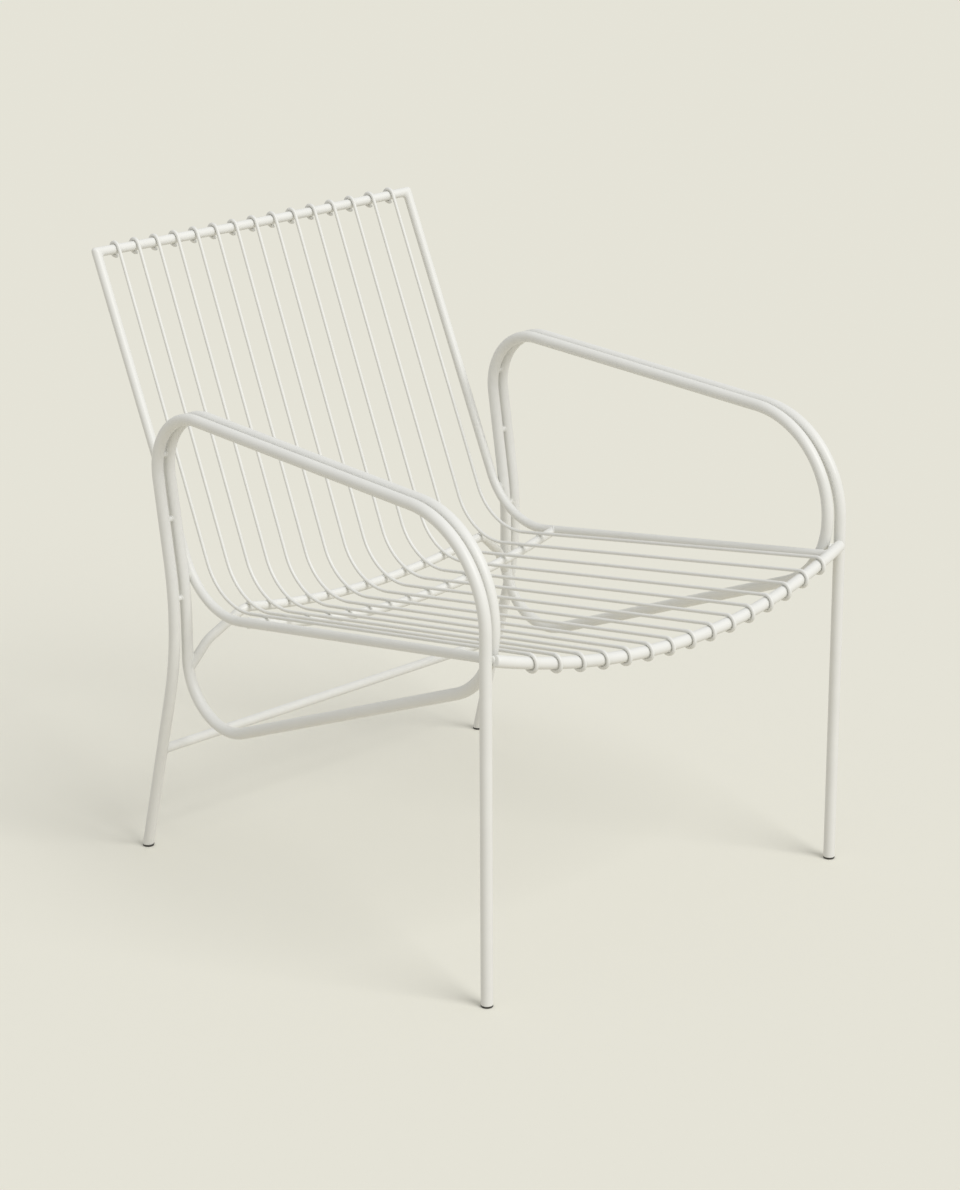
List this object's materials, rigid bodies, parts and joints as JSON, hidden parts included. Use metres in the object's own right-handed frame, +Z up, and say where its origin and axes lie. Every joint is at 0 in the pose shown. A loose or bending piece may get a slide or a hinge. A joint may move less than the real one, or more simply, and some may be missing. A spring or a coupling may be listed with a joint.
{
  "type": "outdoor armchair",
  "caption": "Low outdoor armchair of bent steel tube with looped armrests and an open sling seat and back of parallel bent wire rods hooked over bowed rails.",
  "frame": {"origin": "on the floor plane, under the middle of the chair's overall width and depth", "axes": "+Z up, the chair faces -Y, +X is the sitter's left"},
  "size_m": [0.6862, 0.8824, 0.8454],
  "materials": {
    "powder_coat": "satin white powder coat over steel",
    "glide_plastic": "dark moulded plastic"
  },
  "bodies": {
    "root": {"right_leg_hoop": "powder_coat", "right_arm_loop": "powder_coat", "right_side_rail": "powder_coat", "right_spacer_1": "powder_coat", "right_spacer_2": "powder_coat", "right_spacer_3": "powder_coat", "right_front_glide": "glide_plastic", "right_rear_glide": "glide_plastic", "left_leg_hoop": "powder_coat", "left_arm_loop": "powder_coat", "left_side_rail": "powder_coat", "left_spacer_1": "powder_coat", "left_spacer_2": "powder_coat", "left_spacer_3": "powder_coat", "left_front_glide": "glide_plastic", "left_rear_glide": "glide_plastic", "back_top_rail": "powder_coat", "front_rail": "powder_coat", "seat_bar": "powder_coat", "rear_arch_bar": "powder_coat", "rear_stretcher": "powder_coat", "seat_rod_01": "powder_coat", "seat_rod_02": "powder_coat", "seat_rod_03": "powder_coat", "seat_rod_04": "powder_coat", "seat_rod_05": "powder_coat", "seat_rod_06": "powder_coat", "seat_rod_07": "powder_coat", "seat_rod_08": "powder_coat", "seat_rod_09": "powder_coat", "seat_rod_10": "powder_coat", "seat_rod_11": "powder_coat", "seat_rod_12": "powder_coat", "seat_rod_13": "powder_coat", "seat_rod_14": "powder_coat", "seat_rod_15": "powder_coat"}
  },
  "joints": []
}
